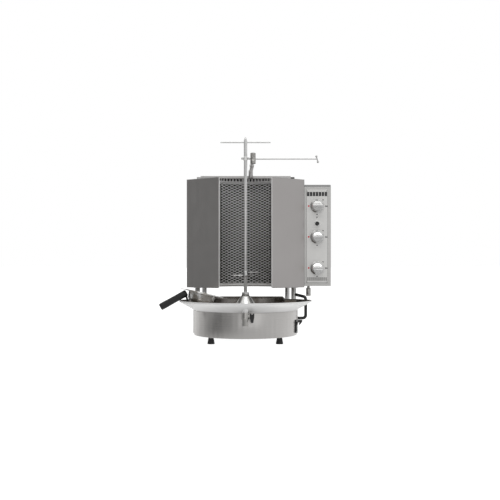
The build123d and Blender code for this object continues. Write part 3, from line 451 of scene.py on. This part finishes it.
def expanded_metal():
    """Diamond cells of leaning strands on an arc behind the spit, with plain strips round them."""
    low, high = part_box("mesh_guard")
    foot = low.z + FOOT_MM * MM
    top = high.z
    last_row = 2 * GUARD_ROWS
    bm = bmesh.new()

    def point(column, row, lean):
        angle = GUARD_HALF * (2 * column / HALF_COLUMNS - 1)
        radius = (GUARD_R + lean) * MM
        z = foot + (top - foot) * row / last_row
        return AXIS + Vector((radius * math.sin(angle), radius * math.cos(angle), z))

    corners = {}

    def corner(column, row):
        if (column, row) not in corners:
            corners[column, row] = bm.verts.new(point(column, row, 0))
        return corners[column, row]

    for row in range(1, last_row):
        for column in range(1, HALF_COLUMNS):
            if (row + column) % 2:
                continue
            ways = [(1, 0, 0.0), (0, 1, LEAN_MM), (-1, 0, 0.0), (0, -1, -LEAN_MM)]
            outer = [corner(column + i, row + j) for i, j, _ in ways]
            keep = 1 - STRAND
            inner = [bm.verts.new(point(column + i * keep, row + j * keep, lean)) for i, j, lean in ways]
            for k in range(4):
                n = (k + 1) % 4
                bm.faces.new((outer[k], outer[n], inner[n], inner[k]))
    sheet = finish_piece("mesh_guard_diamonds", bm, looks["mesh_steel"], "burner_carriage",
                         ["mesh_guard"], smooth=False)
    thicken(sheet, STRAND_MM)

    def strip(first, last, start, end, lean, steps):
        """Faces between two rows of the arc, from the first column to the last."""
        verts = []
        for row in (start, end):
            columns = [first + (last - first) * k / steps for k in range(steps + 1)]
            verts.append([bm.verts.new(point(column, row, lean)) for column in columns])
        for k in range(steps):
            bm.faces.new((verts[0][k], verts[0][k + 1], verts[1][k + 1], verts[1][k]))

    bm = bmesh.new()
    strip(0, SIDE_STRIP, 0, last_row, 0.1, 1)
    strip(HALF_COLUMNS - SIDE_STRIP, HALF_COLUMNS, 0, last_row, 0.1, 1)
    strip(0, HALF_COLUMNS, last_row - 1.0, last_row, 0.1, ARC_STEPS)
    strip(0, HALF_COLUMNS, 0, 0.5, 0.1, ARC_STEPS)
    thicken(finish_piece("mesh_guard_border", bm, looks["mesh_steel"], "burner_carriage"),
            STRIP_MM)

    bm = bmesh.new()
    foot_row = -FOOT_MM * MM / ((top - foot) / last_row)
    strip(0, HALF_COLUMNS, foot_row, 0.25, 0.9, ARC_STEPS)
    # the foot strip takes the slotted band's near-white colour, which is painted light
    thicken(finish_piece("mesh_guard_foot", bm, OWN_LOOK["slotted_band"], "burner_carriage"),
            STRIP_MM)


expanded_metal()

# ---------------------------------------------------------------- gas knobs


FACE_R = 21.9
FLAT_R = 20.9
BAR_HALF = 6.5
BAR_PROUD = 4.5
SLOPE_FALL = 9.0
SLOPE_RUN = 15.3
KNOB_STEPS = 144
FACE_RINGS = 16


def knob_face(z, deep):
    """How far the knob's face stands out at height z: two slopes up to a rounded bar across the middle."""
    off = abs(z)
    if off > BAR_HALF:
        return deep - BAR_PROUD - SLOPE_FALL * (off - BAR_HALF) / SLOPE_RUN
    return deep - BAR_PROUD + BAR_PROUD * (1 - (off / BAR_HALF) ** 3) ** 0.5


def gas_knob(level):
    """Polished knob: a flared skirt, and a face that slopes up to the grip bar."""
    low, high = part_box("knob_" + level)
    centre = Vector(((low.x + high.x) / 2, high.y, (low.z + high.z) / 2))
    deep = (high.y - low.y) / MM
    bm = bmesh.new()
    skirt = rounded([(0.2, 0), (28.8, 0), (29.4, 0.7), (29.4, 2.6), (22.9, 7.3), (FACE_R, 12.0)], 1.4, 5)
    # rings of (radius, distance out from the panel, drop); those without a distance lie on the face
    rings = [(radius / MM, reach / MM, 0.0) for radius, reach in skirt]
    rings += [(FACE_R, None, -1.8), (21.6, None, -0.7), (FLAT_R, None, 0.0)]
    rings += [(FLAT_R * (1 - k / FACE_RINGS), None, 0.0) for k in range(1, FACE_RINGS)]
    rings += [(0.2, None, 0.0)]
    made = []
    for radius, reach, drop in rings:
        ring = []
        for i in range(KNOB_STEPS):
            angle = 2 * math.pi * i / KNOB_STEPS
            x, z = radius * math.cos(angle), radius * math.sin(angle)
            out = knob_face(z, deep) + drop if reach is None else reach
            ring.append(centre + Vector((x, -out, z)) * MM)
        made.append(ring)
    skin(bm, made)
    knob = finish_piece("knob_" + level + "_polished", bm, looks["knob_metal"], "gas_knob_" + level,
                        ["knob_" + level], 50)
    knob.visible_glossy = False


for level in ("lower", "middle", "upper"):
    gas_knob(level)

# ---------------------------------------------------------------- scoop handle


GRIP_Y = -80
GRIP_LOW = Vector((-346, GRIP_Y, 144))
GRIP_HIGH = Vector((-240, GRIP_Y, 203))
GRIP_WIDE = 15.4
GRIP_THICK = 14.3
GROOVES = 9
GROOVE_DEEP = 0.075
GRIP_STEPS = 120
STRAP_STEPS = 24


def squared(value, power):
    """A cosine or sine pushed outwards, which turns a circle into a rounded square."""
    return math.copysign(abs(value) ** power, value)


def fade(share, start, length):
    """0 before start, 1 after start + length."""
    return min(1.0, max(0.0, (share - start) / length))


def scoop_grip():
    """A swelling grip with long grooves, and the strap that joins it to the bowl."""
    low, high = GRIP_LOW, GRIP_HIGH
    run = (high - low).normalized()
    up = Vector((0, 1, 0)).cross(run) * -1
    length = (high - low).length
    bm = bmesh.new()
    # share of the length, and size there
    stations = [(0.0, 0.86), (0.006, 0.94), (0.015, 0.98), (0.045, 1.0), (0.09, 1.0), (0.2, 1.0),
                (0.4, 0.965), (0.6, 0.95), (0.8, 0.965), (0.92, 0.98), (0.96, 0.96), (0.985, 0.88),
                (1.0, 0.74)]
    rings = []
    for share, size in stations:
        groove = GROOVE_DEEP * fade(share, 0.05, 0.08) * fade(-share, -0.95, 0.05)
        ring = []
        for i in range(GRIP_STEPS):
            angle = 2 * math.pi * i / GRIP_STEPS
            dip = 1 - groove * max(0.0, math.cos(GROOVES * angle)) ** 3
            y = GRIP_WIDE * size * dip * squared(math.cos(angle), 0.75)
            z = GRIP_THICK * size * dip * squared(math.sin(angle), 0.75)
            point = low + run * (length * share) + Vector((0, 1, 0)) * y + up * z
            ring.append(at(*point))
        rings.append(ring)
    skin(bm, rings)
    # x, z, half thickness and half width along the strap
    strap = [(-246, 199.5, 5.0, 10), (-242.2, 191, 4.4, 9.4), (-239.2, 182, 3.9, 8.8),
             (-236.4, 173, 3.2, 8.0), (-232.6, 165.4, 2.2, 6.6)]
    rings = []
    for x, z, thick, wide in strap:
        ring = []
        for i in range(STRAP_STEPS):
            angle = 2 * math.pi * i / STRAP_STEPS
            across = thick * squared(math.cos(angle), 0.6)
            ring.append(at(x + across, GRIP_Y + wide * squared(math.sin(angle), 0.6), z + 0.25 * across))
        rings.append(ring)
    skin(bm, rings)
    finish_piece("scoop_grip", bm, looks["black_plastic"], "scoop", ["scoop_handle"], 50)


scoop_grip()

# ---------------------------------------------------------------- rolled edges of the wings


HEM_R = 2.1
HEM_STEPS = 24
HEM_X = 109.0
HEM_Y = -39.4


def wing_hem(side):
    """The wing's inner edge is rolled over into a thin bead; its paler steel is a painted highlight along the
    fold.
    """
    low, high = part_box("shield_" + side)
    middle = -HEM_X if side == "left" else HEM_X
    bm = bmesh.new()
    rings = []
    for z in (low.z + 0.5 * MM, high.z - 0.5 * MM):
        ring = []
        for i in range(HEM_STEPS):
            angle = 2 * math.pi * i / HEM_STEPS
            ring.append(at(middle + HEM_R * math.cos(angle), HEM_Y + HEM_R * math.sin(angle), z / MM))
        rings.append(ring)
    skin(bm, rings)
    finish_piece("wing_hem_" + side, bm, looks["hem_steel"], "burner_carriage")


for side in ("left", "right"):
    wing_hem(side)

# ---------------------------------------------------------------- heat shield behind the louvres

SHIELD_HALF = 96
SHIELD_LOW = 288
SHIELD_RIB_MM = 12
SHIELD_RIBS = 26
SHIELD_GAP = 7.0
SHIELD_RIB_DEEP = 1.5
SHIELD_THICK = 0.8


def heat_shield():
    """Ribbed sheet just inside the casing's back, so that nothing is seen through the louvres."""
    back = (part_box("outer_casing")[1].y - AXIS.y) / MM
    bm = bmesh.new()
    rings = []
    for rib in range(SHIELD_RIBS):
        near = back - SHIELD_GAP - (0 if rib % 2 else SHIELD_RIB_DEEP)
        far = near + SHIELD_THICK
        z = SHIELD_LOW + SHIELD_RIB_MM * rib
        corners = ((-SHIELD_HALF, near), (SHIELD_HALF, near), (SHIELD_HALF, far), (-SHIELD_HALF, far))
        rings.append([at(x, y, z) for x, y in corners])
    skin(bm, rings)
    # its inward faces take the casing's painted shade of the housing's hollow
    finish_piece("louvre_heat_shield", bm, OWN_LOOK["outer_casing"], "burner_carriage",
                 smooth=False)


heat_shield()

# ---------------------------------------------------------------- marks on the face plate

MARK_MM = 0.12
MARK_SUNK_MM = 0.05
BORDER_MM = 1.5
BORDER_INSET = 1.4
BAND_BLOCKS = 7
FOOT_BLOCKS = 10
DISC_STEPS = 32


def flat_mark(name, outlines, look):
    """Thin flat shapes on the face plate (printed marks, and a painted shadow line), from outlines of (x, z)
    points in millimetres.
    """
    back = (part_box("face_plate")[0].y - AXIS.y) / MM
    bm = bmesh.new()
    for outline in outlines:
        rings = [[at(x, y, z) for x, z in outline] for y in (back + MARK_SUNK_MM, back - MARK_MM)]
        skin(bm, rings)
    finish_piece(name, bm, look, "burner_carriage", smooth=False)


def disc(x, z, radius):
    angles = [2 * math.pi * i / DISC_STEPS for i in range(DISC_STEPS)]
    return [(x + radius * math.cos(angle), z + radius * math.sin(angle)) for angle in angles]


def bar(x, z, wide, tall):
    return [(x - wide / 2, z - tall / 2), (x + wide / 2, z - tall / 2), (x + wide / 2, z + tall / 2),
            (x - wide / 2, z + tall / 2)]


def star(x, z, radius):
    """Eight points."""
    points = []
    for i in range(16):
        reach = radius if i % 2 == 0 else radius * 0.42
        points.append((x + reach * math.sin(math.pi * i / 8), z + reach * math.cos(math.pi * i / 8)))
    return points


def flame(x, z, tall):
    """A drop with its tip up."""
    half = [(0, -0.5), (0.2, -0.46), (0.32, -0.3), (0.33, -0.1), (0.22, 0.12), (0.1, 0.3), (0.02, 0.5)]
    right = [(x + u * tall, z + v * tall) for u, v in half]
    return right + [(x - u * tall * 0.9, z + v * tall) for u, v in reversed(half[1:])]


def panel_marks():
    """Plain symbols round the knobs, a painted shadow line along the plate's edges, and rows of blocks at the
    head and foot.
    """
    dark, red = [], []
    for level in ("lower", "middle", "upper"):
        low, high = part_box("knob_" + level)
        middle = ((low + high) / 2 - AXIS) / MM
        x, z = middle.x, middle.z
        red.append(disc(x - 35.5, z, 3.6))
        dark += [star(x + 25.5, z + 26.5, 4.2), flame(x + 36.6, z, 7.5), flame(x + 42.0, z, 7.5),
                 disc(x, z - 35.6, 2.6)]
    dark.append(star(304.5, 519.0, 4.2))
    flat_mark("panel_symbols", dark, ink)
    flat_mark("panel_off_dots", red, ink_red)
    # painted shadow: a grey line just inside the plate's left, right and lower edges stands for the shade of
    # the gap round the plate
    plate_low, plate_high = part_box("face_plate")
    edge_low, edge_high = (plate_low - AXIS) / MM, (plate_high - AXIS) / MM
    left, right = edge_low.x + BORDER_INSET, edge_high.x - BORDER_INSET
    foot, head = edge_low.z + BORDER_INSET, edge_high.z - BORDER_INSET
    tall = head - foot + BORDER_MM
    border = [bar(x, (foot + head) / 2, BORDER_MM, tall) for x in (left, right)]
    border.append(bar((left + right) / 2, foot, right - left - BORDER_MM - 0.1, BORDER_MM))
    flat_mark("panel_shadow_line", border, grey_ink_and_shadow)
    middle = (edge_low.x + edge_high.x) / 2
    top = [bar(middle - 38 + 12.6 * k, edge_high.z - 19.5, 10.4, 18.0) for k in range(BAND_BLOCKS)]
    flat_mark("panel_band_top", top, ink)
    low_row = [bar(middle - 39 + 8.6 * k, edge_low.z + 17.0, 5.0, 15.0) for k in range(FOOT_BLOCKS)]
    flat_mark("panel_band_foot", low_row, grey_ink_and_shadow)


panel_marks()

# ---------------------------------------------------------------- stage, light and camera


FLOOR_HALF = 60.0
FLOOR_Z = -0.0002


def stage():
    """A plain white floor that doesn't show in the steel."""
    bm = bmesh.new()
    corners = [(-1, -1), (1, -1), (1, 1), (-1, 1)]
    bm.faces.new([bm.verts.new((x * FLOOR_HALF, y * FLOOR_HALF, FLOOR_Z)) for x, y in corners])
    data = bpy.data.meshes.new("floor")
    bm.to_mesh(data)
    bm.free()
    floor = bpy.data.objects.new("floor", data)
    bpy.context.scene.collection.objects.link(floor)
    material, _, shader = new_material("floor_white", (0.5, 0.5, 0.5), 0.0, 0.9)
    shader.inputs["Emission Color"].default_value = (1, 1, 1, 1)
    shader.inputs["Emission Strength"].default_value = 0.85
    data.materials.append(material)
    floor.visible_glossy = False
    floor.visible_diffuse = False


# brightness of the surround by direction in degrees: 0 is the front, 90 the right
SKY = [(-180, 1.0), (-140, 0.8), (-70, 0.15), (0, 0.5), (90, 0.7), (180, 1.0)]
CEILING = (0.86, 0.86, 0.85)
OVERHEAD = (0.22, 0.22, 0.22)
TABLE = (0.58, 0.58, 0.58)
TABLE_BEHIND = (2.1, 2.1, 2.1)


def sky():
    """Studio surround: dim on the left, bright on the right and behind, white to the camera itself."""
    world = bpy.data.worlds.new("studio")
    world.use_nodes = True
    bpy.context.scene.world = world
    tree = world.node_tree
    tree.nodes.clear()
    where = add_node(tree, "ShaderNodeTexCoord")
    split = add_node(tree, "ShaderNodeSeparateXYZ")
    tree.links.new(where.outputs["Generated"], split.inputs["Vector"])
    toward = math_node(tree, "MULTIPLY", split.outputs["Y"], -1.0)
    turn = math_node(tree, "ARCTAN2", split.outputs["X"], toward)
    share = remap(tree, turn, 0.0, 1.0, -math.pi, math.pi)
    ramp = add_node(tree, "ShaderNodeValToRGB")
    tree.links.new(share, ramp.inputs["Fac"])
    stops = ramp.color_ramp.elements
    while len(stops) > 1:
        stops.remove(stops[-1])
    stops[0].position = 0.0
    for index, (degrees, level) in enumerate(SKY):
        stop = stops[0] if index == 0 else stops.new((degrees + 180) / 360)
        stop.color = (level, level, level, 1)
    above = remap(tree, split.outputs["Z"], 0.0, 1.0, 0.38, 0.62)
    low = remap(tree, split.outputs["Z"], 1.0, 0.0, -0.52, -0.34)
    below = remap(tree, split.outputs["Z"], 1.0, 0.0, -0.74, -0.58)
    behind = remap(tree, split.outputs["Y"], 0.0, 1.0, 0.05, 0.35)
    below = math_node(tree, "MULTIPLY", below, behind)
    glow = mix_colour(tree, above, ramp.outputs["Color"], CEILING)
    overhead = remap(tree, split.outputs["Z"], 0.0, 1.0, 0.965, 0.99)
    glow = mix_colour(tree, overhead, glow, OVERHEAD)
    glow = mix_colour(tree, low, glow, TABLE)
    glow = mix_colour(tree, below, glow, TABLE_BEHIND)
    seen = add_node(tree, "ShaderNodeLightPath")
    final = mix_colour(tree, seen.outputs["Is Camera Ray"], glow, (1.0, 1.0, 1.0))
    back = add_node(tree, "ShaderNodeBackground", {"Strength": 1.0})
    tree.links.new(final, back.inputs["Color"])
    out = add_node(tree, "ShaderNodeOutputWorld")
    tree.links.new(back.outputs["Background"], out.inputs["Surface"])


def softbox(name, place, target, wide, tall, power):
    """A rectangular lamp, sizes in metres."""
    data = bpy.data.lights.new(name, "AREA")
    data.shape = "RECTANGLE"
    data.size = wide
    data.size_y = tall
    data.energy = power
    lamp = bpy.data.objects.new(name, data)
    bpy.context.scene.collection.objects.link(lamp)
    lamp.location = place
    lamp.rotation_euler = (Vector(target) - Vector(place)).to_track_quat("-Z", "Y").to_euler()
    lamp.visible_camera = False


def camera():
    """Level, in front of the spit and a little to its right."""
    data = bpy.data.cameras.new("camera")
    data.sensor_width = 36
    data.lens = 52.2
    data.shift_y = 0.028
    made = bpy.data.objects.new("camera", data)
    bpy.context.scene.collection.objects.link(made)
    made.location = at(18.9, -3040, 320)
    made.rotation_euler = (math.radians(90), 0, 0)
    bpy.context.scene.camera = made


stage()
sky()
softbox("front_softbox", (0.25, -1.5, 2.5), (0.0, 0.0, 0.3), 1.3, 0.7, 8)
softbox("fill_softbox", at(350, -2100, 500), at(0, 0, 330), 1.8, 1.3, 2.0)
camera()
bpy.context.scene.view_settings.view_transform = "Standard"
